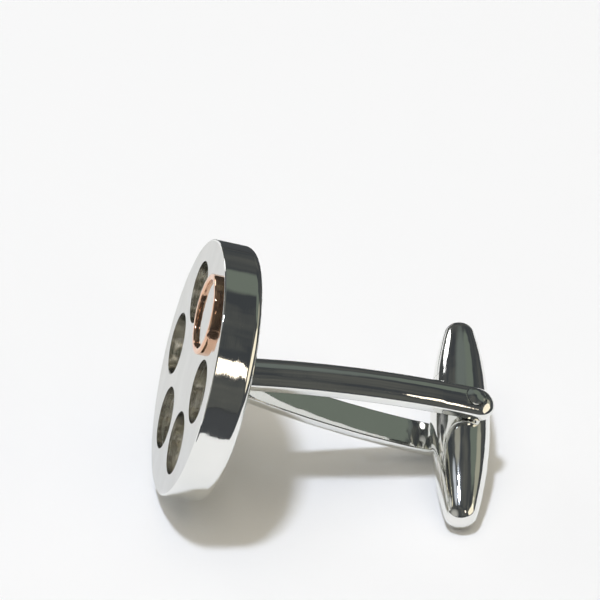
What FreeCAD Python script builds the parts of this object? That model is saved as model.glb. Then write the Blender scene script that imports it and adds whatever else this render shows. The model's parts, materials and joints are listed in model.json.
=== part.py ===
"""Cufflink with a drilled round head, an open fork post and a swivel toggle, lying as it rests on a table."""
import FreeCAD, Part
import math
import os

from FreeCAD import Placement, Rotation, Vector

# Head disc
HEAD_DIAMETER = 18.0
HEAD_THICKNESS = 2.8
HEAD_FRONT_BREAK = 0.12
HEAD_BACK_ROUND = 0.6
HOLE_COUNT = 6
HOLE_RIM_WALL = 1.4
HOLE_WEB = 1.0
HOLE_EDGE_BREAK = 0.1
HOLE_TURN_DEGREES = -6.0

# Accent ring and its plug, in the hole nearest to the plane of the fork
RING_LEDGE = 0.15
RING_WALL = 0.45
RING_PROUD = 0.45
RING_EDGE_BREAK = 0.12
PLUG_FLANGE_HEIGHT = 0.2
PLUG_CLEARANCE = 0.02

# Fork post
FOOT_DIAMETER = 4.4
FOOT_HEIGHT = 0.6
FOOT_EDGE_BREAK = 0.2
PIVOT_DISTANCE = 17.1
ARM_GAP = 4.4
ARM_ROOT_GAP = 0.1
ARM_WIDTH = 2.45
ARM_THICKNESS = 1.25
ARM_SIDE_HEIGHT = 0.6
ARM_TIP_STRAIGHT = 0.35

# Pivot pin, whose girth follows the toggle that it carries
PIN_CORNER_SHARE = 0.432
PIN_FLATS_SHARE = 0.79
PIN_END_SHARE = 0.933
PIN_END_PROUD = 0.08
PIN_END_DOME = 0.12
PIN_PRESS_CLEARANCE = 0.01
PIN_SHOULDER_CLEARANCE = 0.02
PIN_RUNNING_CLEARANCE = 0.05

# Toggle, which fills the gap between the arms
TOGGLE_LENGTH = 17.4
TOGGLE_TIP_RADIUS = 1.2
TOGGLE_SIDE_CLEARANCE = 0.1
TOGGLE_DIAMETER = ARM_GAP - 2 * TOGGLE_SIDE_CLEARANCE

# Detent spring and its cover
SPRING_THICKNESS = 0.2
SPRING_WIDTH = 1.3
SPRING_LENGTH = 6.2
SPRING_PIN_CLEARANCE = 0.06
POCKET_CLEARANCE = 0.1
COVER_DEPTH_SHARE = 0.35
COVER_LEDGE = 0.3
COVER_CLEARANCE = 0.02

# Cuts reach past the faces that they open, and an edge this near to a plane lies in it
OVERRUN = 1.0
IN_PLANE = 0.001

# The part lies on three points: the rim of the head, the tip of the lower arm and one end of the toggle
STEEPEST_LIE_DEGREES = 60.0
BALANCE_STEPS = 26
CONTACT_FINENESS = 0.01

ORIGIN = Vector(0, 0, 0)
AXIS_X = Vector(1, 0, 0)
AXIS_Y = Vector(0, 1, 0)
AXIS_Z = Vector(0, 0, 1)

# Holes fill the head between its rim wall and the webs that part them
HOLE_STEP_SHARE = 2 * math.sin(math.pi / HOLE_COUNT)
HOLE_REACH = HEAD_DIAMETER / 2 - HOLE_RIM_WALL
HOLE_RADIUS = (HOLE_REACH * HOLE_STEP_SHARE - HOLE_WEB) / (2 + HOLE_STEP_SHARE)
HOLE_PITCH_RADIUS = HOLE_REACH - HOLE_RADIUS
RING_INNER_RADIUS = HOLE_RADIUS + RING_LEDGE

# Places shared by several pieces: x runs along the post from the back of the head, z along the pivot pin
FACE_X = -HEAD_THICKNESS
PIVOT = Vector(PIVOT_DISTANCE, 0, 0)
ACCENT_CENTRE = Rotation(AXIS_X, HOLE_TURN_DEGREES).multVec(Vector(FACE_X, 0, HOLE_PITCH_RADIUS))
ARM_INNER_Z = ARM_GAP / 2
ARM_OUTER_Z = ARM_INNER_Z + ARM_THICKNESS

# The cover takes its share of the toggle's depth, and the bowed spring fills what is left beside the pin
PIN_CORNER_DIAMETER = TOGGLE_DIAMETER * PIN_CORNER_SHARE
PIN_ACROSS_FLATS = PIN_CORNER_DIAMETER * PIN_FLATS_SHARE
PIN_END_DIAMETER = PIN_ACROSS_FLATS * PIN_END_SHARE
COVER_INNER_X = -TOGGLE_DIAMETER / 2 * (1 - COVER_DEPTH_SHARE)
SPRING_RISE = -COVER_INNER_X - PIN_CORNER_DIAMETER / 2 - SPRING_PIN_CLEARANCE - SPRING_THICKNESS


def arc(start, middle, end):
    """Returns the edge of the circular arc through three points."""
    return Part.Arc(start, middle, end).toShape()


def line(start, end):
    """Returns the straight edge between two points."""
    return Part.LineSegment(start, end).toShape()


def face_of(edges):
    """Returns the flat face inside a closed chain of edges."""
    return Part.Face(Part.Wire(edges))


def box_between(low, high):
    """Returns the box between two opposite corners."""
    size = high - low
    return Part.makeBox(size.x, size.y, size.z, low)


def turned_solid(profile, base, axis):
    """Returns the solid that a closed profile sweeps in a full turn."""
    return face_of(profile).revolve(base, axis, 360)


def edges_at_x(shape, x):
    """Returns the edges that lie wholly in the plane at x."""
    return [edge for edge in shape.Edges
            if edge.BoundBox.XLength < IN_PLANE and abs(edge.CenterOfMass.x - x) < IN_PLANE]


def hole_cutter(centre):
    """Returns the cutter of one hole, flared to break its edge on both faces of the head."""
    flare = HOLE_RADIUS + HOLE_EDGE_BREAK
    bore = Part.makeCylinder(HOLE_RADIUS, HEAD_THICKNESS, centre, AXIS_X)
    front = Part.makeCone(flare, HOLE_RADIUS, HOLE_EDGE_BREAK, centre, AXIS_X)
    back_start = centre + AXIS_X * (HEAD_THICKNESS - HOLE_EDGE_BREAK)
    back = Part.makeCone(HOLE_RADIUS, flare, HOLE_EDGE_BREAK, back_start, AXIS_X)
    return bore.fuse([front, back])


def head_disc():
    """Returns the drilled disc: crisp front edge, soft back edge and six holes on one circle."""
    disc = Part.makeCylinder(HEAD_DIAMETER / 2, HEAD_THICKNESS, Vector(FACE_X, 0, 0), AXIS_X)
    disc = disc.makeChamfer(HEAD_FRONT_BREAK, edges_at_x(disc, FACE_X))
    disc = disc.makeFillet(HEAD_BACK_ROUND, edges_at_x(disc, 0))
    for index in range(HOLE_COUNT):
        turn = Rotation(AXIS_X, 360 * index / HOLE_COUNT)
        disc = disc.cut(hole_cutter(turn.multVec(ACCENT_CENTRE)))
    return disc


def accent_ring():
    """Returns the rose-gold ring, seated on the face round its plug, with the front rim's edges broken."""
    outer = Part.makeCylinder(RING_INNER_RADIUS + RING_WALL, RING_PROUD, ACCENT_CENTRE, -AXIS_X)
    ring = outer.cut(Part.makeCylinder(RING_INNER_RADIUS, RING_PROUD, ACCENT_CENTRE, -AXIS_X))
    return ring.makeChamfer(RING_EDGE_BREAK, edges_at_x(ring, FACE_X - RING_PROUD))


def accent_plug():
    """Returns the plug: a stem through the disc and a flange that centres the ring."""
    flange = Part.makeCylinder(RING_INNER_RADIUS - PLUG_CLEARANCE, PLUG_FLANGE_HEIGHT, ACCENT_CENTRE, -AXIS_X)
    stem = Part.makeCylinder(HOLE_RADIUS - PLUG_CLEARANCE, HEAD_THICKNESS, ACCENT_CENTRE, AXIS_X)
    return flange.fuse(stem).removeSplitter()


def post_foot():
    """Returns the round pad that carries both arms on the back of the head."""
    foot = Part.makeCylinder(FOOT_DIAMETER / 2, FOOT_HEIGHT, ORIGIN, AXIS_X)
    return foot.makeChamfer(FOOT_EDGE_BREAK, edges_at_x(foot, FOOT_HEIGHT))


def at_pivot(y, z):
    """Returns a point of the cross plane through the pivot."""
    return PIVOT + Vector(0, y, z)


def crowned_section(half_only):
    """Returns an arm's section at the pivot, flat inside and crowned outside, whole or one half of it."""
    half = ARM_WIDTH / 2
    crown = ARM_THICKNESS - ARM_SIDE_HEIGHT
    crown_radius = (half ** 2 + crown ** 2) / (2 * crown)
    half_way = half / 2
    half_drop = crown_radius - math.sqrt(crown_radius ** 2 - half_way ** 2)
    top = at_pivot(0, ARM_OUTER_Z)
    inside = at_pivot(half, ARM_INNER_Z)
    flank_top = at_pivot(half, ARM_INNER_Z + ARM_SIDE_HEIGHT)
    if half_only:
        centre = at_pivot(0, ARM_INNER_Z)
        on_crown = at_pivot(half_way, ARM_OUTER_Z - half_drop)
        return face_of([line(centre, inside), line(inside, flank_top), arc(flank_top, on_crown, top),
                        line(top, centre)])
    far_inside = at_pivot(-half, ARM_INNER_Z)
    far_flank_top = at_pivot(-half, ARM_INNER_Z + ARM_SIDE_HEIGHT)
    return face_of([line(far_inside, inside), line(inside, flank_top), arc(flank_top, top, far_flank_top),
                    line(far_flank_top, far_inside)])


def upper_arm():
    """Returns the upper arm: swept on an arc from foot to pivot, with a round domed tip, drilled for the pin."""
    reach = PIVOT_DISTANCE - FOOT_HEIGHT
    rise = ARM_INNER_Z - ARM_ROOT_GAP / 2
    bow_radius = (reach ** 2 + rise ** 2) / (2 * rise)
    sweep = math.degrees(math.asin((reach + OVERRUN) / bow_radius))
    section = crowned_section(half_only=False)
    bow = section.revolve(at_pivot(0, ARM_INNER_Z - bow_radius), -AXIS_Y, sweep)
    straight = section.extrude(AXIS_X * ARM_TIP_STRAIGHT)
    tip_shift = AXIS_X * ARM_TIP_STRAIGHT
    tip = crowned_section(half_only=True).translated(tip_shift).revolve(PIVOT + tip_shift, -AXIS_Z, 180)
    far_corner = PIVOT + Vector(ARM_TIP_STRAIGHT + ARM_WIDTH, ARM_WIDTH, ARM_OUTER_Z + OVERRUN)
    above_foot = box_between(Vector(FOOT_HEIGHT, -ARM_WIDTH, 0), far_corner)
    hole_radius = PIN_END_DIAMETER / 2 + PIN_PRESS_CLEARANCE
    hole = Part.makeCylinder(hole_radius, ARM_OUTER_Z + OVERRUN, PIVOT, AXIS_Z)
    return bow.common(above_foot).fuse([straight, tip]).cut(hole).removeSplitter()


def lower_arm():
    """Returns the lower arm, the mirror of the upper one."""
    return upper_arm().mirror(ORIGIN, AXIS_Z)


def pin_end():
    """Returns one end of the pin, which fills an arm's hole and ends in a low riveted dome."""
    radius = PIN_END_DIAMETER / 2
    top = ARM_OUTER_Z + PIN_END_PROUD
    shoulder = top - PIN_END_DOME
    dome_radius = (radius ** 2 + PIN_END_DOME ** 2) / (2 * PIN_END_DOME)
    half_way = radius / 2
    half_drop = dome_radius - math.sqrt(dome_radius ** 2 - half_way ** 2)
    return turned_solid([
        line(PIVOT, at_pivot(radius, 0)),
        line(at_pivot(radius, 0), at_pivot(radius, shoulder)),
        arc(at_pivot(radius, shoulder), at_pivot(half_way, top - half_drop), at_pivot(0, top)),
        line(at_pivot(0, top), PIVOT),
    ], PIVOT, AXIS_Z)


def pivot_pin():
    """Returns the pin: square between the arms, with rounded corners, and round in both arms."""
    half = PIN_ACROSS_FLATS / 2
    shoulder_z = ARM_INNER_Z - PIN_SHOULDER_CLEARANCE
    corner = Vector(half, half, shoulder_z)
    square = box_between(PIVOT - corner, PIVOT + corner)
    round_bar = Part.makeCylinder(PIN_CORNER_DIAMETER / 2, 2 * shoulder_z, at_pivot(0, -shoulder_z), AXIS_Z)
    end = pin_end()
    return square.common(round_bar).fuse([end, end.mirror(ORIGIN, AXIS_Z)]).removeSplitter()


def toggle_form():
    """Returns the plain spindle: one belly arc that runs into round tips."""
    belly = TOGGLE_DIAMETER / 2
    tip = TOGGLE_TIP_RADIUS
    tip_y = TOGGLE_LENGTH / 2 - tip
    belly_radius = (tip_y ** 2 + belly ** 2 - tip ** 2) / (2 * (belly - tip))
    slope = math.asin(tip_y / (belly_radius - tip))

    def at(x, y):
        return PIVOT + Vector(x, y, 0)

    def on_tip(angle, side):
        return at(tip * math.cos(angle), side * (tip_y + tip * math.sin(angle)))

    end_turn = (slope + math.pi / 2) / 2
    return turned_solid([
        arc(at(0, -tip_y - tip), on_tip(end_turn, -1), on_tip(slope, -1)),
        arc(on_tip(slope, -1), at(belly, 0), on_tip(slope, 1)),
        arc(on_tip(slope, 1), on_tip(end_turn, 1), at(0, tip_y + tip)),
        line(at(0, tip_y + tip), at(0, -tip_y - tip)),
    ], PIVOT, AXIS_Y)


def spring_pocket():
    """Returns the room of the spring, from the pin's bore to the inner face of the cover."""
    half_length = SPRING_LENGTH / 2 + POCKET_CLEARANCE
    half_width = SPRING_WIDTH / 2 + POCKET_CLEARANCE
    low = PIVOT + Vector(COVER_INNER_X, -half_length, -half_width)
    high = PIVOT + Vector(-PIN_ACROSS_FLATS / 2, half_length, half_width)
    return box_between(low, high)


def cover_block(clearance):
    """Returns the block of the cover's seat, drawn in by a clearance on its four sides."""
    half_length = SPRING_LENGTH / 2 + POCKET_CLEARANCE + COVER_LEDGE - clearance
    half_width = SPRING_WIDTH / 2 + POCKET_CLEARANCE + COVER_LEDGE - clearance
    low = PIVOT + Vector(-TOGGLE_DIAMETER, -half_length, -half_width)
    high = PIVOT + Vector(COVER_INNER_X, half_length, half_width)
    return box_between(low, high)


def toggle_body():
    """Returns the spindle with the pin's bore and the spring's pocket."""
    bore_radius = PIN_CORNER_DIAMETER / 2 + PIN_RUNNING_CLEARANCE
    bore = Part.makeCylinder(bore_radius, ARM_GAP, at_pivot(0, -ARM_INNER_Z), AXIS_Z)
    return toggle_form().cut([bore, spring_pocket(), cover_block(0)])


def spring_cover():
    """Returns the strip that closes the pocket, flush with the spindle's skin."""
    return toggle_form().common(cover_block(COVER_CLEARANCE))


def detent_spring():
    """Returns the bowed leaf: its middle faces the pin's flat, its ends stand on the cover."""
    half_length = SPRING_LENGTH / 2
    back_radius = (half_length ** 2 + SPRING_RISE ** 2) / (2 * SPRING_RISE)
    front_radius = back_radius + SPRING_THICKNESS
    centre = PIVOT + Vector(COVER_INNER_X + SPRING_RISE - back_radius, 0, -SPRING_WIDTH / 2)
    half_angle = math.asin(half_length / back_radius)

    def at(radius, angle):
        return centre + Vector(radius * math.cos(angle), radius * math.sin(angle), 0)

    leaf = face_of([
        arc(at(back_radius, -half_angle), at(back_radius, 0), at(back_radius, half_angle)),
        line(at(back_radius, half_angle), at(front_radius, half_angle)),
        arc(at(front_radius, half_angle), at(front_radius, 0), at(front_radius, -half_angle)),
        line(at(front_radius, -half_angle), at(back_radius, -half_angle)),
    ])
    return leaf.extrude(AXIS_Z * SPRING_WIDTH)


def pose(tilt, roll):
    """Returns the turn that rolls the part about its post and then tips the toggle end down."""
    return Rotation(AXIS_Y, tilt).multiply(Rotation(AXIS_X, roll))


def lowest(points, turn):
    """Returns the height of the lowest point once the points are turned."""
    up = turn.inverted().multVec(AXIS_Z)
    return min(point.dot(up) for point in points)


def balance(difference, low, high):
    """Returns where a rising difference crosses zero between two angles."""
    for _ in range(BALANCE_STEPS):
        middle = (low + high) / 2
        if difference(middle) < 0:
            low = middle
        else:
            high = middle
    return (low + high) / 2


def resting_turn(head, arm, toggle):
    """Returns the turn at which head, arm tip and toggle end all meet the table."""
    heads, arms, toggles = (shape.tessellate(CONTACT_FINENESS)[0] for shape in (head, arm, toggle))

    def tilt_for(roll):
        def head_over_arm(tilt):
            turn = pose(tilt, roll)
            return lowest(heads, turn) - lowest(arms, turn)
        return balance(head_over_arm, 0, STEEPEST_LIE_DEGREES)

    def head_over_toggle(roll):
        turn = pose(tilt_for(roll), roll)
        return lowest(heads, turn) - lowest(toggles, turn)

    roll = balance(head_over_toggle, 0, STEEPEST_LIE_DEGREES)
    return pose(tilt_for(roll), roll)


def standing(shapes, turn):
    """Returns the placement that turns the part and sets it on the table, centred on the origin."""
    turned = Part.makeCompound(shapes)
    turned.Placement = Placement(ORIGIN, turn)
    box = turned.optimalBoundingBox()
    return Placement(Vector(-box.Center.x, -box.Center.y, -box.ZMin), turn)


def main():
    """Builds every piece, lays the part down and writes one file for each piece."""
    pieces = {builder.__name__: builder() for builder in (
        head_disc, accent_ring, accent_plug, post_foot, upper_arm, lower_arm, pivot_pin,
        toggle_body, spring_cover, detent_spring)}
    turn = resting_turn(pieces["head_disc"], pieces["lower_arm"], pieces["toggle_body"])
    place = standing(list(pieces.values()), turn)
    os.makedirs("parts", exist_ok=True)
    for name, shape in pieces.items():
        shape.Placement = place.multiply(shape.Placement)
        shape.exportStep(f"parts/{name}.step")
        print(f"{name}: valid {shape.isValid()}, solids {len(shape.Solids)}, volume {shape.Volume:.3f}")
    print("pivot", place.multVec(PIVOT), "axis", turn.multVec(AXIS_Z))
    print("post axis", turn.multVec(AXIS_X), "toggle axis", turn.multVec(AXIS_Y))
    box = Part.makeCompound(list(pieces.values())).optimalBoundingBox()
    print("box", box)


main()
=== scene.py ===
"""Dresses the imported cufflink: rhodium and rose-gold plate over its solids, on a white table in soft light."""

import json
import logging
import math
from collections.abc import Callable, Sequence
from dataclasses import dataclass
from enum import Enum, IntEnum
from typing import Any

import bmesh
import bpy
from mathutils import Matrix, Vector


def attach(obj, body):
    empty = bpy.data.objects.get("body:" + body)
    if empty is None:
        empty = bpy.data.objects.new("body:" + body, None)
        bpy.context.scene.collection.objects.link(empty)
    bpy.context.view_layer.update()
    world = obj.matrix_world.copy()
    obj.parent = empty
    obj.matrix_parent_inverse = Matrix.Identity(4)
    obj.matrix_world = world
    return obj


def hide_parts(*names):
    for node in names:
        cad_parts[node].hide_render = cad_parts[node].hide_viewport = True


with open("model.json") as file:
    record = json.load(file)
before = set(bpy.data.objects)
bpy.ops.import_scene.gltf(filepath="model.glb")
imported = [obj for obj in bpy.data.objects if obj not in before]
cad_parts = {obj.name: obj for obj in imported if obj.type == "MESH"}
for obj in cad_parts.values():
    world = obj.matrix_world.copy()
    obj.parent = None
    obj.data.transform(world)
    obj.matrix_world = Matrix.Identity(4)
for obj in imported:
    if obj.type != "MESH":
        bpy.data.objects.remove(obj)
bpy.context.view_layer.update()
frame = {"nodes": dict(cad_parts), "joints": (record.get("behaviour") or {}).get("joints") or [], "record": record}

LOG = logging.getLogger("cufflink")
MM = 0.001

# Points closer than this are one point
WELD = 0.0005 * MM
# Faces that meet flatter than the first angle shade as one, and those that meet flatter than the second are one
SMOOTH_ANGLE = math.radians(32)
FLAT_ANGLE = math.radians(0.2)
QUARTER_TURN = math.pi / 2
FULL_TURN = 2 * math.pi

# The cufflink's own axes: along the post away from the head, along the toggle and along the pin
ALONG_POST = Vector((1, 0, 0))
ALONG_TOGGLE = Vector((0, 1, 0))
ALONG_PIN = Vector((0, 0, 1))


class Body(Enum):
    """The two bodies of the cufflink, which the hinge joins."""

    HEAD = "head"
    TOGGLE = "toggle"


class Slot(Enum):
    """The names of the record's material slots."""

    RHODIUM = "rhodium_plate"
    ROSE_GOLD = "rose_gold_plate"


class DiscFinish(IntEnum):
    """The finishes of the drilled disc, in the order of its materials."""

    PLATE = 0
    BORE = 1
    FACE = 2


class Work(Enum):
    """What a second shape does to a piece, under Blender's name for it."""

    CUT = "DIFFERENCE"
    JOIN = "UNION"


def linear(hex_colour: str) -> tuple[float, float, float, float]:
    """Turns an sRGB hex value to linear light.

    Args:
        hex_colour: six hex digits after a hash sign.

    Returns:
        Red, green, blue and a full alpha.
    """
    parts = [int(hex_colour[i:i + 2], 16) / 255 for i in (1, 3, 5)]
    red, green, blue = (c / 12.92 if c <= 0.04045 else ((c + 0.055) / 1.055) ** 2.4 for c in parts)
    return red, green, blue, 1.0


def per_metre(wavelength: float) -> float:
    """Returns the noise scale whose grains are a wavelength in metres apart."""
    return 1 / wavelength


def add_node(tree: bpy.types.NodeTree, kind: str, settings: dict[str, Any] | None = None,
             feeds: dict[Any, Any] | None = None) -> bpy.types.Node:
    """Adds one shader node, sets it and feeds its inputs.

    Args:
        tree: the node tree that takes the node.
        kind: Blender's type name of the node.
        settings: attribute names and their values.
        feeds: input names or numbers, each with a value or the socket that feeds it.

    Returns:
        The new node.
    """
    node = tree.nodes.new(kind)
    for name, value in (settings or {}).items():
        setattr(node, name, value)
    for name, value in (feeds or {}).items():
        if isinstance(value, bpy.types.NodeSocket):
            tree.links.new(value, node.inputs[name])
        else:
            node.inputs[name].default_value = value
    return node


def bare_tree(owner: bpy.types.Material | bpy.types.World) -> bpy.types.NodeTree:
    """Gives a material or a world an empty node tree.

    Args:
        owner: the material or world.

    Returns:
        Its node tree, with no node in it.
    """
    owner.use_nodes = True
    owner.node_tree.nodes.clear()
    return owner.node_tree


@dataclass(frozen=True)
class PolishedPlate:
    """A plated and buffed metal: a mirror, faintly waved by the buffing wheel, with hairline marks.

    The wave bends reflections by a degree or two, so that straight edges wander in them. The hairlines run round
    the post's axis, which dips below level. Real ones are too fine to show, so they lie coarser here.
    """

    name: str
    colour: str
    tint: str
    roughness: float
    worn_roughness: float
    wave_length: float = 2.2 * MM
    wave_height: float = 0.06 * MM
    wave_detail: float = 1.5
    wave_raggedness: float = 0.4
    hairline_pitch: float = 0.16 * MM
    hairline_height: float = 0.0018 * MM
    hairline_detail: float = 2.0
    hairline_stretch: float = 16.0
    clear_below: float = 0.35
    worn_above: float = 0.75
    post_dip: float = math.radians(17.24)

    def make(self) -> bpy.types.Material:
        """Makes the material.

        Returns:
            The finished material.
        """
        material = bpy.data.materials.new(self.name)
        tree = bare_tree(material)
        place = add_node(tree, "ShaderNodeTexCoord").outputs["Object"]
        wave = add_node(tree, "ShaderNodeTexNoise", feeds={
            "Vector": place, "Scale": per_metre(self.wave_length), "Detail": self.wave_detail,
            "Roughness": self.wave_raggedness})
        stretched = add_node(tree, "ShaderNodeMapping", {"vector_type": "TEXTURE"}, {
            "Vector": place, "Rotation": (0.0, self.post_dip, 0.0),
            "Scale": (1.0, self.hairline_stretch, self.hairline_stretch)})
        hairline = add_node(tree, "ShaderNodeTexNoise", feeds={
            "Vector": stretched.outputs["Vector"], "Scale": per_metre(self.hairline_pitch),
            "Detail": self.hairline_detail})
        waved = add_node(tree, "ShaderNodeBump", feeds={
            "Strength": 1.0, "Distance": self.wave_height, "Height": wave.outputs["Fac"]})
        marked = add_node(tree, "ShaderNodeBump", feeds={
            "Strength": 1.0, "Distance": self.hairline_height, "Height": hairline.outputs["Fac"],
            "Normal": waved.outputs["Normal"]})
        haze = add_node(tree, "ShaderNodeMapRange", feeds={
            "Value": hairline.outputs["Fac"], "From Min": self.clear_below, "From Max": self.worn_above,
            "To Min": self.roughness, "To Max": self.worn_roughness})
        blush = add_node(tree, "ShaderNodeMix", {"data_type": "RGBA"}, {
            "Factor": wave.outputs["Fac"], "A": linear(self.colour), "B": linear(self.tint)})
        shader = add_node(tree, "ShaderNodeBsdfPrincipled", feeds={
            "Base Color": blush.outputs["Result"], "Metallic": 1.0, "Roughness": haze.outputs["Result"],
            "Normal": marked.outputs["Normal"]})
        add_node(tree, "ShaderNodeOutputMaterial", feeds={"Surface": shader.outputs["BSDF"]})
        return material


# Rhodium plate, buffed on a soft wheel: a bright neutral mirror, in which straight edges waver a little
RHODIUM = PolishedPlate("polished_rhodium_plate", "#f0f0ed", "#e8e9e6", 0.05, 0.09)
# The same plate on the face and the plug: as clear a mirror, but a tone greyer, which is painted shade for the
# shadowed table that the face mirrors, and sets the face off its rim
FACE = PolishedPlate("rhodium_face_painted_shade", "#cacac6", "#c4c5c2", 0.05, 0.09)
# The same plate in drilled holes, where no wheel reaches: satin, cloudy and warm grey, with pale glints
BORE = PolishedPlate("satin_rhodium_bore", "#f2f0ea", "#d6d3c8", 0.1, 0.3, wave_length=0.8 * MM,
                     wave_height=0.05 * MM)
# Rose-gold plate on a thin ring, buffed by hand: pink where it mirrors light, deep brown where it mirrors the room,
# with small sparkles
ROSE_GOLD = PolishedPlate("polished_rose_gold_plate", "#efcbb1", "#e0ae8c", 0.07, 0.12, wave_length=0.6 * MM,
                          wave_height=0.04 * MM)
# Cold-rolled spring steel, left bare: a dull blue-grey sheen without clear reflections
STEEL = PolishedPlate("rolled_spring_steel", "#9a9c9e", "#86888b", 0.22, 0.35)


@dataclass(frozen=True)
class TablePaper:
    """White studio paper, matt, with a faint tooth."""

    name: str = "white_studio_paper"
    colour: str = "#f5f5f4"
    tooth: float = 0.3 * MM
    tooth_height: float = 0.02 * MM
    tooth_strength: float = 0.1

    def make(self) -> bpy.types.Material:
        """Makes the material.

        Returns:
            The finished material.
        """
        material = bpy.data.materials.new(self.name)
        tree = bare_tree(material)
        place = add_node(tree, "ShaderNodeTexCoord").outputs["Object"]
        grain = add_node(tree, "ShaderNodeTexNoise", feeds={"Vector": place, "Scale": per_metre(self.tooth)})
        bump = add_node(tree, "ShaderNodeBump", feeds={
            "Strength": self.tooth_strength, "Distance": self.tooth_height, "Height": grain.outputs["Fac"]})
        shader = add_node(tree, "ShaderNodeBsdfDiffuse", feeds={
            "Color": linear(self.colour), "Normal": bump.outputs["Normal"]})
        add_node(tree, "ShaderNodeOutputMaterial", feeds={"Surface": shader.outputs["BSDF"]})
        return material


# Uncoated paper: an even white without any shine, on which the shadows lie soft
PAPER = TablePaper()


@dataclass(frozen=True)
class PaintedShadeCard:
    """Matt, even charcoal card: painted shade that only reflections see."""

    name: str = "painted_shade_card"
    colour: str = "#46484a"

    def make(self) -> bpy.types.Material:
        """Makes the material.

        Returns:
            The finished material.
        """
        material = bpy.data.materials.new(self.name)
        tree = bare_tree(material)
        shader = add_node(tree, "ShaderNodeBsdfDiffuse", feeds={"Color": linear(self.colour)})
        add_node(tree, "ShaderNodeOutputMaterial", feeds={"Surface": shader.outputs["BSDF"]})
        return material


# A soft charcoal without any shine, seen only in reflections: painted shade that the polish mirrors as its dark part
SHADE_CARD = PaintedShadeCard()


def deselect_all() -> None:
    """Leaves every object unselected, in object mode."""
    if bpy.context.object and bpy.context.object.mode != "OBJECT":
        bpy.ops.object.mode_set(mode="OBJECT")
    for piece in bpy.context.selected_objects:
        piece.select_set(False)


def take(piece: bpy.types.Object) -> None:
    """Makes a piece the one selected and active object.

    Args:
        piece: the piece.
    """
    deselect_all()
    piece.select_set(True)
    bpy.context.view_layer.objects.active = piece


def settle(piece: bpy.types.Object) -> None:
    """Puts a piece's place, turn and size into its mesh.

    Args:
        piece: the piece, whose object then sits at the origin.
    """
    take(piece)
    bpy.ops.object.transform_apply(location=True, rotation=True, scale=True)


def weld() -> None:
    """Joins the points of the edited piece that lie in one place, and leaves all of it selected."""
    bpy.ops.mesh.select_all(action="SELECT")
    bpy.ops.mesh.remove_doubles(threshold=WELD)


def pick(test: Callable[[Vector], bool]) -> None:
    """Selects, in edit mode, the points of the active piece that pass a test of their place.

    Args:
        test: takes a point's place and says whether it is selected.
    """
    bpy.ops.mesh.select_mode(type="VERT")
    bpy.ops.mesh.select_all(action="DESELECT")
    mesh = bpy.context.object.data
    points = bmesh.from_edit_mesh(mesh)
    for point in points.verts:
        point.select_set(test(point.co))
    points.select_flush(True)
    bmesh.update_edit_mesh(mesh)


def draw_outline(name: str, places: Sequence[Vector]) -> bpy.types.Object:
    """Draws a chain of edges, point by point, and stays in edit mode with all of it selected.

    Args:
        name: the new piece's name.
        places: the points of the chain; it closes where the last is the first again.

    Returns:
        The new piece.
    """
    deselect_all()
    bpy.ops.mesh.primitive_plane_add(size=MM)
    piece = bpy.context.object
    piece.name = name
    bpy.ops.object.mode_set(mode="EDIT")
    bpy.ops.mesh.merge(type="CENTER")
    bpy.ops.transform.translate(value=places[0])
    for start, end in zip(places, places[1:]):
        bpy.ops.mesh.extrude_region_move(TRANSFORM_OT_translate={"value": end - start})
    weld()
    return piece


def close_up(piece: bpy.types.Object) -> None:
    """Welds the seams of the edited piece, turns its faces outwards and leaves edit mode.

    Args:
        piece: the piece.
    """
    weld()
    bpy.ops.mesh.normals_make_consistent(inside=False)
    bpy.ops.object.mode_set(mode="OBJECT")
    LOG.debug("%s has %d faces", piece.name, len(piece.data.polygons))


def modify(piece: bpy.types.Object, kind: str, **settings: Any) -> None:
    """Adds one modifier to a piece and applies it.

    Args:
        piece: the piece.
        kind: Blender's type name of the modifier.
        settings: the modifier's attributes and their values.
    """
    take(piece)
    modifier = piece.modifiers.new(kind.lower(), kind)
    for name, value in settings.items():
        setattr(modifier, name, value)
    bpy.ops.object.modifier_apply(modifier=modifier.name)


def combine(piece: bpy.types.Object, other: bpy.types.Object, work: Work) -> None:
    """Cuts another shape out of a piece or joins it to the piece, and removes that other shape.

    Args:
        piece: the piece that stays.
        other: the shape that goes.
        work: what is done.
    """
    modify(piece, "BOOLEAN", operation=work.value, solver="EXACT", object=other)
    bpy.data.objects.remove(other)


def soften(piece: bpy.types.Object, width: float, steps: int, from_angle: float) -> None:
    """Rounds the edges of a piece that are sharper than an angle."""
    modify(piece, "BEVEL", width=width, segments=steps, limit_method="ANGLE", angle_limit=from_angle)


def drill(middle: Vector, along: Vector, radius: float, depth: float, steps: int = 72) -> bpy.types.Object:
    """Makes a round cutter.

    Args:
        middle: the middle of its length.
        along: its axis.
        radius: its radius.
        depth: its length.
        steps: how many flats stand for its round.

    Returns:
        The cutter, which the cut removes.
    """
    deselect_all()
    bpy.ops.mesh.primitive_cylinder_add(vertices=steps, radius=radius, depth=depth)
    cutter = bpy.context.object
    cutter.rotation_euler = along.to_track_quat("Z", "Y").to_euler()
    cutter.location = middle
    settle(cutter)
    return cutter


def block(name: str, low: Vector, high: Vector) -> bpy.types.Object:
    """Makes a box.

    Args:
        name: its name.
        low: its corner with the lowest values.
        high: the opposite corner.

    Returns:
        The box.
    """
    deselect_all()
    bpy.ops.mesh.primitive_cube_add(size=1)
    box = bpy.context.object
    box.name = name
    box.scale = high - low
    box.location = (low + high) / 2
    settle(box)
    return box


def arc_points(centre: Vector, across: Vector, along: Vector, start: float, end: float, steps: int) -> list[Vector]:
    """Returns points of a circular arc.

    Args:
        centre: the arc's centre.
        across: the radius at angle zero.
        along: the radius at a right angle.
        start: the first angle.
        end: the last angle.
        steps: how many chords the arc has.

    Returns:
        The points, both ends among them.
    """
    turns = (start + (end - start) * step / steps for step in range(steps + 1))
    return [centre + across * math.cos(turn) + along * math.sin(turn) for turn in turns]


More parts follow.
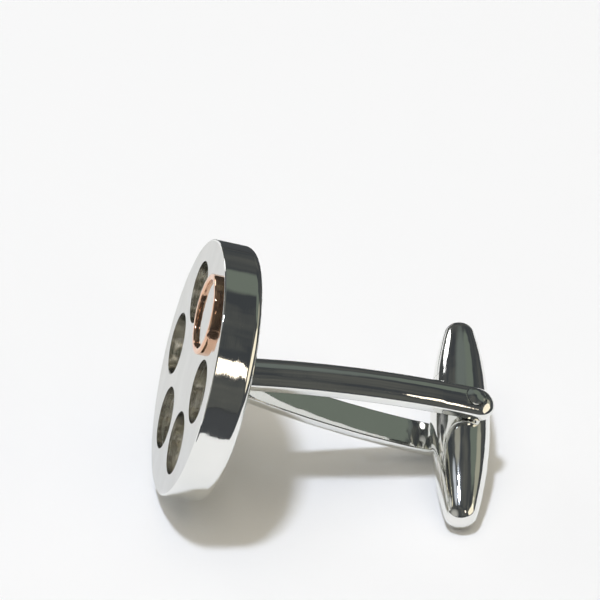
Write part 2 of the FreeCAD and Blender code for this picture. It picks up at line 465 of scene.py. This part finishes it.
@dataclass(frozen=True)
class PostFrame:
    """The cufflink's own axes: x along the post from the back of the head, y along the toggle, z along the pin."""

    pivot_distance: float = 17.1 * MM
    flat_face_weight: int = 100

    def matrix(self) -> Matrix:
        """Finds where the cufflink lies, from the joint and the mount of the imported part.

        Returns:
            The turn and shift from the cufflink's own axes to its place.
        """
        joint = frame["joints"][0]
        post = Vector(frame["record"]["mounts"][0]["axis"])
        pin = Vector(joint["axis"])
        toggle = pin.cross(post)
        turn = Matrix((post, toggle, pin)).transposed()
        return Matrix.Translation(Vector(joint["pos_m"]) - post * self.pivot_distance) @ turn.to_4x4()

    @property
    def pivot(self) -> Vector:
        """The middle of the pin, in the cufflink's own axes."""
        return ALONG_POST * self.pivot_distance

    def hand_over(self, piece: bpy.types.Object, material: bpy.types.Material, body: Body, slot: Slot,
                  *nodes: str) -> None:
        """Lays a finished piece in its place, dresses it and lets it ride.

        Args:
            piece: the piece, modelled in the cufflink's own axes.
            material: its finish.
            body: the body that it moves with.
            slot: the record's slot of its finish; not used.
            nodes: the solids that it stands for.
        """
        take(piece)
        bpy.ops.object.shade_smooth_by_angle(angle=SMOOTH_ANGLE)
        modify(piece, "WEIGHTED_NORMAL", mode="FACE_AREA", weight=self.flat_face_weight, keep_sharp=True)
        piece.matrix_world = self.matrix()
        settle(piece)
        piece.data.materials.clear()
        piece.data.materials.append(material)
        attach(piece, body.value)
        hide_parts(*nodes)
        LOG.info("%s: %d faces, stands for %s", piece.name, len(piece.data.polygons), ", ".join(nodes))


def dress_node(name: str, material: bpy.types.Material) -> None:
    """Gives a solid that stays its finish."""
    frame["nodes"][name].material_slots[0].material = material
    LOG.info("%s: the packed solid", name)


@dataclass
class Head:
    """The drilled disc, with the rose-gold ring that stands round the plug of one hole."""

    axes: PostFrame
    rhodium: bpy.types.Material
    face: float = -2.8 * MM
    radius: float = 9.0 * MM
    front_break: float = 0.12 * MM
    front_steps: int = 4
    back_round: float = 0.6 * MM
    back_steps: int = 8
    disc_steps: int = 192
    hole_count: int = 6
    hole_radius: float = 2.2 * MM
    hole_pitch: float = 5.4 * MM
    hole_turn: float = math.radians(-6)
    hole_break: float = 0.1 * MM
    hole_break_steps: int = 3
    hole_edge_angle: float = math.radians(60)
    drill_length: float = 11.2 * MM
    ring_bore: float = 2.35 * MM
    ring_wall: float = 0.45 * MM
    ring_proud: float = 0.45 * MM
    ring_rim: float = 0.15 * MM
    rim_steps: int = 5
    ring_steps: int = 96

    def build(self) -> None:
        """Dresses the plug, and makes the disc and the ring."""
        # The face and the plug take a greyer copy of the plate: its darker tone is painted shade
        shaded_face = FACE.make()
        dress_node("accent_plug", shaded_face)
        self.make_disc(shaded_face)
        self.make_ring()

    def hole_centre(self, index: int) -> Vector:
        """Returns the middle of a hole's mouth in the face; hole 0 carries the ring."""
        turn = self.hole_turn + FULL_TURN * index / self.hole_count
        return Vector((self.face, -self.hole_pitch * math.sin(turn), self.hole_pitch * math.cos(turn)))

    def finish_at(self, place: Vector) -> DiscFinish:
        """Says which finish the disc has at a place.

        Args:
            place: a place on its surface, in the cufflink's own axes.

        Returns:
            The face's or the bores' finish there, or else the plate's.
        """
        if place.x < self.face + WELD:
            return DiscFinish.FACE
        between_breaks = self.face + self.hole_break < place.x < -self.hole_break
        if between_breaks and place.yz.length < self.radius - self.back_round:
            return DiscFinish.BORE
        return DiscFinish.PLATE

    def make_disc(self, shaded_face: bpy.types.Material) -> None:
        """Turns the disc from its outline, drills it, breaks the edges of the holes and dresses it.

        Args:
            shaded_face: the finish of its face.
        """
        forward, outward = -ALONG_POST, ALONG_PIN
        face, back = ALONG_POST * self.face, Vector((0, 0, 0))
        crisp, soft = self.front_break, self.back_round
        front_corner = face - forward * crisp + outward * (self.radius - crisp)
        back_corner = back + forward * soft + outward * (self.radius - soft)
        disc = draw_outline("drilled_disc", [
            face,
            *arc_points(front_corner, forward * crisp, outward * crisp, 0, QUARTER_TURN, self.front_steps),
            *arc_points(back_corner, outward * soft, -forward * soft, 0, QUARTER_TURN, self.back_steps),
            back])
        bpy.ops.mesh.spin(steps=self.disc_steps, angle=FULL_TURN, center=back, axis=forward)
        weld()
        bpy.ops.mesh.dissolve_limited(angle_limit=FLAT_ANGLE)
        close_up(disc)
        for index in range(self.hole_count):
            combine(disc, drill(self.hole_centre(index), forward, self.hole_radius, self.drill_length), Work.CUT)
        soften(disc, self.hole_break, self.hole_break_steps, self.hole_edge_angle)
        self.axes.hand_over(disc, self.rhodium, Body.HEAD, Slot.RHODIUM, "head_disc")
        disc.data.materials.append(BORE.make())
        # The face's greyer tone is painted shade
        disc.data.materials.append(shaded_face)
        unplaced = self.axes.matrix().inverted()
        for facet in disc.data.polygons:
            facet.material_index = self.finish_at(unplaced @ facet.center)

    def make_ring(self) -> None:
        """Turns the ring from its wall's outline, with a soft front rim."""
        forward, outward = -ALONG_POST, ALONG_PIN
        centre = self.hole_centre(0)
        inner = centre + outward * self.ring_bore
        outer = inner + outward * self.ring_wall
        height = forward * self.ring_proud
        soft, into_wall = forward * self.ring_rim, outward * self.ring_rim
        ring = draw_outline("rose_gold_ring", [
            inner,
            *arc_points(inner + height - soft + into_wall, -into_wall, soft, 0, QUARTER_TURN, self.rim_steps),
            *arc_points(outer + height - soft - into_wall, soft, into_wall, 0, QUARTER_TURN, self.rim_steps),
            outer, inner])
        bpy.ops.mesh.spin(steps=self.ring_steps, angle=FULL_TURN, center=centre, axis=forward)
        close_up(ring)
        self.axes.hand_over(ring, ROSE_GOLD.make(), Body.HEAD, Slot.ROSE_GOLD, "accent_ring")


@dataclass
class Fork:
    """The foot, the two bowed arms and the pin that is riveted through their tips."""

    axes: PostFrame
    rhodium: bpy.types.Material
    foot_height: float = 0.6 * MM
    root_gap: float = 0.1 * MM
    root_spare: float = 1.0 * MM
    gap: float = 4.4 * MM
    width: float = 2.45 * MM
    thickness: float = 1.25 * MM
    side_height: float = 0.6 * MM
    tip_straight: float = 0.35 * MM
    soft_edge: float = 0.13 * MM
    soft_steps: int = 3
    crease_angle: float = math.radians(20)
    crown_steps: int = 8
    bow_steps: int = 48
    tip_steps: int = 32
    pin_end: float = 1.337 * MM
    pin_flats: float = 1.433 * MM
    pin_corner: float = 0.12 * MM
    pin_corner_steps: int = 3
    pin_corner_angle: float = math.radians(30)
    pin_proud: float = 0.08 * MM
    pin_dome: float = 0.12 * MM
    pin_press: float = 0.01 * MM
    pin_shoulder: float = 0.02 * MM
    pin_steps: int = 48
    dome_steps: int = 6
    rivet_groove: float = 0.07 * MM
    groove_steps: int = 2
    drill_length: float = 17.6 * MM

    def build(self) -> None:
        """Dresses the foot, and makes the pin and the arms."""
        dress_node("post_foot", self.rhodium)
        self.make_pin()
        upper = self.make_arm("fork_arm_upper")
        take(upper)
        bpy.ops.object.duplicate()
        lower = bpy.context.object
        lower.name = "fork_arm_lower"
        lower.scale.z = -1
        settle(lower)
        bpy.ops.object.mode_set(mode="EDIT")
        close_up(lower)
        self.axes.hand_over(upper, self.rhodium, Body.HEAD, Slot.RHODIUM, "upper_arm")
        self.axes.hand_over(lower, self.rhodium, Body.HEAD, Slot.RHODIUM, "lower_arm")

    def half_section(self) -> list[Vector]:
        """Draws one half of an arm's section at the pivot.

        Returns:
            Its points, from the middle of the inner side round to the crown.
        """
        half = self.width / 2
        rise = self.thickness - self.side_height
        crown_radius = (half ** 2 + rise ** 2) / (2 * rise)
        lean = math.asin(half / crown_radius)
        inner = self.axes.pivot + ALONG_PIN * (self.gap / 2)
        crown_centre = inner + ALONG_PIN * (self.thickness - crown_radius)
        crown = arc_points(crown_centre, ALONG_PIN * crown_radius, ALONG_TOGGLE * crown_radius, lean, 0,
                           self.crown_steps)
        return [inner, inner + ALONG_TOGGLE * half, *crown]

    def make_arm(self, name: str) -> bpy.types.Object:
        """Makes the upper arm: its section spun along the bow, run on straight and spun round at the tip.

        Args:
            name: the piece's name.

        Returns:
            The arm, in the cufflink's own axes.
        """
        pivot = self.axes.pivot
        half = self.half_section()
        mirrored = [Vector((place.x, -place.y, place.z)) for place in reversed(half)]
        arm = draw_outline(name, half + mirrored[1:])
        reach = pivot.x - self.foot_height
        rise = (self.gap - self.root_gap) / 2
        bow_radius = (reach ** 2 + rise ** 2) / (2 * rise)
        bow_centre = pivot + ALONG_PIN * (self.gap / 2 - bow_radius)
        sweep = math.asin((reach + self.root_spare) / bow_radius)
        bpy.ops.mesh.spin(steps=self.bow_steps, angle=sweep, center=bow_centre, axis=ALONG_TOGGLE)
        bpy.ops.mesh.select_all(action="SELECT")
        bpy.ops.mesh.bisect(plane_co=ALONG_POST * self.foot_height, plane_no=ALONG_POST, use_fill=True,
                            clear_inner=True)
        pick(lambda place: place.x > pivot.x - WELD)
        straight = ALONG_POST * self.tip_straight
        bpy.ops.mesh.extrude_region_move(TRANSFORM_OT_translate={"value": straight})
        pick(lambda place: place.x > pivot.x + self.tip_straight - WELD and place.y > -WELD)
        bpy.ops.mesh.spin(steps=self.tip_steps, angle=math.pi, center=pivot + straight, axis=ALONG_PIN)
        close_up(arm)
        soften(arm, self.soft_edge, self.soft_steps, self.crease_angle)
        bore_radius = self.pin_end / 2 + self.pin_press
        combine(arm, drill(pivot, ALONG_PIN, bore_radius, self.drill_length), Work.CUT)
        take(arm)
        bpy.ops.object.mode_set(mode="EDIT")
        outer_side = self.gap / 2 + self.side_height
        pick(lambda place: (place - pivot).xy.length < bore_radius + WELD and place.z > outer_side)
        bpy.ops.mesh.bevel(offset=self.rivet_groove, segments=self.groove_steps, affect="EDGES")
        close_up(arm)
        return arm

    def make_pin(self) -> None:
        """Turns the pin's round ends with their low domes, and joins the square bar between the arms to them."""
        pivot = self.axes.pivot
        radius = self.pin_end / 2
        top = self.gap / 2 + self.thickness + self.pin_proud
        dome_radius = (radius ** 2 + self.pin_dome ** 2) / (2 * self.pin_dome)
        lean = math.asin(radius / dome_radius)
        dome = arc_points(pivot + ALONG_PIN * (top - dome_radius), ALONG_PIN * dome_radius, ALONG_POST * dome_radius,
                          0, lean, self.dome_steps)
        below = [Vector((place.x, place.y, -place.z)) for place in reversed(dome)]
        pin = draw_outline("riveted_pin", dome + below)
        bpy.ops.mesh.spin(steps=self.pin_steps, angle=FULL_TURN, center=pivot, axis=ALONG_PIN)
        close_up(pin)
        corner = Vector((self.pin_flats / 2, self.pin_flats / 2, self.gap / 2 - self.pin_shoulder))
        bar = block("pin_bar", pivot - corner, pivot + corner)
        soften(bar, self.pin_corner, self.pin_corner_steps, self.pin_corner_angle)
        combine(pin, bar, Work.JOIN)
        self.axes.hand_over(pin, self.rhodium, Body.HEAD, Slot.RHODIUM, "pivot_pin")


@dataclass
class Toggle:
    """The spindle that swivels on the pin, with the strip and the leaf spring let into it."""

    axes: PostFrame
    rhodium: bpy.types.Material
    length: float = 17.4 * MM
    diameter: float = 4.2 * MM
    tip_radius: float = 1.2 * MM
    tip_steps: int = 14
    belly_steps: int = 44
    turn_steps: int = 112
    bore_radius: float = 0.957 * MM
    drill_length: float = 8.4 * MM
    pocket: Vector = Vector((0.717, 3.2, 0.75)) * MM
    seat: Vector = Vector((1.365, 3.5, 1.05)) * MM

    def build(self) -> None:
        """Dresses what is let into the spindle, and makes the spindle."""
        dress_node("spring_cover", self.rhodium)
        dress_node("detent_spring", STEEL.make())
        self.make_spindle()

    def outline(self) -> list[Vector]:
        """Draws one side of the spindle: a belly arc that runs into round tips.

        Returns:
            Its points, from the near end to the far end.
        """
        pivot = self.axes.pivot
        belly, tip = self.diameter / 2, self.tip_radius
        tip_y = self.length / 2 - tip
        belly_radius = (tip_y ** 2 + belly ** 2 - tip ** 2) / (2 * (belly - tip))
        slope = math.asin(tip_y / (belly_radius - tip))
        across_tip, along_tip = ALONG_POST * tip, ALONG_TOGGLE * tip
        near = arc_points(pivot - ALONG_TOGGLE * tip_y, across_tip, along_tip, -QUARTER_TURN, -slope, self.tip_steps)
        middle = arc_points(pivot - ALONG_POST * (belly_radius - belly), ALONG_POST * belly_radius,
                            ALONG_TOGGLE * belly_radius, -slope, slope, self.belly_steps)
        far = arc_points(pivot + ALONG_TOGGLE * tip_y, across_tip, along_tip, slope, QUARTER_TURN, self.tip_steps)
        return near + middle[1:] + far[1:]

    def make_spindle(self) -> None:
        """Turns the spindle from its outline, and cuts the bore, the spring's pocket and the cover's seat."""
        pivot = self.axes.pivot
        spindle = draw_outline("toggle_spindle", self.outline())
        bpy.ops.mesh.spin(steps=self.turn_steps, angle=FULL_TURN, center=pivot, axis=ALONG_TOGGLE)
        close_up(spindle)
        combine(spindle, drill(pivot, ALONG_PIN, self.bore_radius, self.drill_length), Work.CUT)
        for room in (self.pocket, self.seat):
            low = pivot - Vector((self.diameter, room.y, room.z))
            high = pivot + Vector((-room.x, room.y, room.z))
            combine(spindle, block("pocket", low, high), Work.CUT)
        self.axes.hand_over(spindle, self.rhodium, Body.TOGGLE, Slot.RHODIUM, "toggle_body")


@dataclass(frozen=True)
class PhotoCamera:
    """The photograph's standpoint: a long lens, a third of the way up from the table."""

    azimuth: float = math.radians(-4.2)
    elevation: float = math.radians(34.8)
    distance: float = 245 * MM
    right: float = 5.09 * MM
    up: float = 5.18 * MM
    pixels_per_metre: float = 14500.0
    picture_width: float = 600.0
    sensor: float = 36.0
    nearest: float = 10 * MM
    farthest: float = 100.0

    def build(self, aim: Vector) -> None:
        """Sets up the camera.

        Args:
            aim: the middle of the back of the head, which lies left of and below the picture's middle.
        """
        right = Vector((math.cos(self.azimuth), math.sin(self.azimuth), 0))
        level = Vector((-math.sin(self.azimuth), math.cos(self.azimuth), 0))
        back = -level * math.cos(self.elevation) + Vector((0, 0, math.sin(self.elevation)))
        up = back.cross(right)
        data = bpy.data.cameras.new("photo_camera")
        data.sensor_width = self.sensor
        data.lens = self.sensor * self.pixels_per_metre * self.distance / self.picture_width
        data.clip_start, data.clip_end = self.nearest, self.farthest
        camera = bpy.data.objects.new("photo_camera", data)
        bpy.context.scene.collection.objects.link(camera)
        camera.matrix_world = Matrix((right, up, back)).transposed().to_4x4()
        camera.location = aim + right * self.right + up * self.up + back * self.distance
        bpy.context.scene.camera = camera


def bearing(azimuth: float, elevation: float) -> Vector:
    """Returns the unit vector to a bearing in degrees; azimuth 0 is towards the camera, 90 to the camera's right."""
    level = Vector((math.sin(math.radians(azimuth)), -math.cos(math.radians(azimuth)), 0))
    return level * math.cos(math.radians(elevation)) + Vector((0, 0, math.sin(math.radians(elevation))))


@dataclass(frozen=True)
class Lamp:
    """One oval softbox that shines at the cufflink, with its axes level and upright.

    Its bearing is in degrees, its size and distance in metres and its power in watts.
    """

    name: str
    azimuth: float
    elevation: float
    width: float
    height: float
    power: float
    colour: str
    distance: float = 1.5
    mirrored: bool = True

    def build(self) -> None:
        """Hangs the lamp in its place."""
        data = bpy.data.lights.new(self.name, "AREA")
        data.shape = "ELLIPSE"
        data.size, data.size_y = self.width, self.height
        data.energy = self.power
        data.color = linear(self.colour)[:3]
        lamp = bpy.data.objects.new(self.name, data)
        bpy.context.scene.collection.objects.link(lamp)
        lamp.location = bearing(self.azimuth, self.elevation) * self.distance
        lamp.rotation_euler = (math.radians(90 - self.elevation), 0, math.radians(self.azimuth))
        lamp.visible_glossy = self.mirrored


@dataclass(frozen=True)
class RoomSide:
    """A round patch of the room in its own tone, such as a wall or the light from a door; angles are in degrees."""

    azimuth: float
    elevation: float
    radius: float
    colour: str
    soft_edge: float = 4.0


@dataclass(frozen=True)
class Room:
    """The room that the polish mirrors: pale low down, where the table ends, dim and mottled above, with toned sides.

    Heights are those of the view's unit vector. The mottle turns from shade to smoke between its two thresholds.
    """

    low: str = "#e6e6e4"
    shade: str = "#404346"
    smoke: str = "#5c5d59"
    low_until: float = -0.08
    dim_from: float = -0.01
    mottle_scale: float = 2.6
    mottle_detail: float = 3.0
    shade_until: float = 0.4
    smoke_from: float = 0.65
    sides: tuple[RoomSide, ...] = (
        # A sage wall that runs from the right to behind, with its lit lower end
        RoomSide(110, 39, 12, "#6f776e"),
        RoomSide(138, 42, 11, "#6f776e"),
        RoomSide(168, 56, 10, "#6c736f", 10),
        RoomSide(104, 17, 9, "#a4a393"),
        # A skylight, and the ceiling that the back window lights
        RoomSide(-90, 63, 5, "#c8ced6"),
        RoomSide(-140, 75, 7, "#98978c"),
        # A pale wall on the left that runs on to the front
        RoomSide(-106, 16, 8, "#e0e0dc", 16),
        RoomSide(-50, 12, 12, "#b4b4af", 20),
    )

    def build(self) -> None:
        """Lights the world."""
        world = bpy.data.worlds.new("dim_room")
        bpy.context.scene.world = world
        tree = bare_tree(world)
        towards = add_node(tree, "ShaderNodeTexCoord").outputs["Generated"]
        mottle = add_node(tree, "ShaderNodeTexNoise", feeds={
            "Vector": towards, "Scale": self.mottle_scale, "Detail": self.mottle_detail})
        contrast = add_node(tree, "ShaderNodeMapRange", feeds={
            "Value": mottle.outputs["Fac"], "From Min": self.shade_until, "From Max": self.smoke_from})
        tone = add_node(tree, "ShaderNodeMix", {"data_type": "RGBA"}, {
            "Factor": contrast.outputs["Result"], "A": linear(self.shade), "B": linear(self.smoke)})
        for side in self.sides:
            nearness = add_node(tree, "ShaderNodeVectorMath", {"operation": "DOT_PRODUCT"}, {
                0: towards, 1: bearing(side.azimuth, side.elevation)})
            inside = add_node(tree, "ShaderNodeMapRange", feeds={
                "Value": nearness.outputs["Value"], "From Min": math.cos(math.radians(side.radius + side.soft_edge)),
                "From Max": math.cos(math.radians(side.radius))})
            tone = add_node(tree, "ShaderNodeMix", {"data_type": "RGBA"}, {
                "Factor": inside.outputs["Result"], "A": tone.outputs["Result"], "B": linear(side.colour)})
        height = add_node(tree, "ShaderNodeSeparateXYZ", feeds={"Vector": towards})
        above = add_node(tree, "ShaderNodeMapRange", feeds={
            "Value": height.outputs["Z"], "From Min": self.low_until, "From Max": self.dim_from})
        whole = add_node(tree, "ShaderNodeMix", {"data_type": "RGBA"}, {
            "Factor": above.outputs["Result"], "A": linear(self.low), "B": tone.outputs["Result"]})
        light = add_node(tree, "ShaderNodeBackground", feeds={"Color": whole.outputs["Result"]})
        add_node(tree, "ShaderNodeOutputWorld", feeds={"Surface": light.outputs["Background"]})


@dataclass(frozen=True)
class DarkCard:
    """A black card that lies on the table outside the picture: painted shade, so that the polish has something dark
    to mirror.

    Only reflections see it: the camera, the shadows and the soft light from the table leave it out.
    """

    name: str
    left: float
    right: float
    front: float
    back: float
    underside: float = 0.1 * MM
    topside: float = 0.2 * MM

    def build(self, material: bpy.types.Material) -> None:
        """Lays the card down and hides it from all but reflections.

        Args:
            material: its finish.
        """
        card = block(self.name, Vector((self.left, self.front, self.underside)),
                     Vector((self.right, self.back, self.topside)))
        card.data.materials.append(material)
        card.visible_camera = card.visible_diffuse = card.visible_shadow = False


@dataclass
class Studio:
    """The white table, dark cards round the picture that only reflections see as painted shade, the room and its
    lamps: one overhead, the rest low in power.
    """

    table_size: float = 4.0
    lamps: tuple[Lamp, ...] = (
        Lamp("overhead_softbox", azimuth=-66, elevation=80, width=0.17, height=0.17, power=12.7, colour="#e6eeff"),
        Lamp("ceiling_bounce", azimuth=0, elevation=90, width=2.4, height=2.4, power=14.4, colour="#fff4e2",
             mirrored=False),
        Lamp("back_window", azimuth=-147.6, elevation=20, width=0.315, height=0.45, power=1.28, colour="#ffffff"),
        Lamp("warm_lamp", azimuth=27.5, elevation=32, width=0.15, height=0.42, power=0.4, colour="#fff2dc"),
        Lamp("cream_panel", azimuth=70, elevation=12, width=1.5, height=1.0, power=4.0, colour="#fff3d8"),
    )
    # Painted shade: cards that only reflections see, dark where the table round the paper lies in shade
    cards: tuple[DarkCard, ...] = (
        DarkCard("front_card", left=-150 * MM, right=1900 * MM, front=-1900 * MM, back=-30 * MM),
        DarkCard("right_card", left=28 * MM, right=1900 * MM, front=-30 * MM, back=30 * MM),
        DarkCard("back_card", left=-12 * MM, right=1900 * MM, front=30 * MM, back=1900 * MM),
    )

    def build(self) -> None:
        """Sets the table, lays the cards, lights the room and hangs the lamps."""
        deselect_all()
        bpy.ops.mesh.primitive_plane_add(size=self.table_size)
        table = bpy.context.object
        table.name = "table"
        table.data.materials.append(PAPER.make())
        # One charcoal finish for all cards, which is painted shade seen only in reflections
        black = SHADE_CARD.make()
        for card in self.cards:
            card.build(black)
        Room().build()
        for lamp in self.lamps:
            lamp.build()
        bpy.context.scene.view_settings.view_transform = "Standard"


def main() -> None:
    """Builds the cufflink's sub-assemblies, the studio and the camera, in that order."""
    logging.basicConfig(level=logging.INFO, format="%(name)s: %(message)s")
    axes = PostFrame()
    rhodium = RHODIUM.make()
    Head(axes, rhodium).build()
    Fork(axes, rhodium).build()
    Toggle(axes, rhodium).build()
    Studio().build()
    PhotoCamera().build(axes.matrix().translation)


if __name__ == "__main__":
    main()
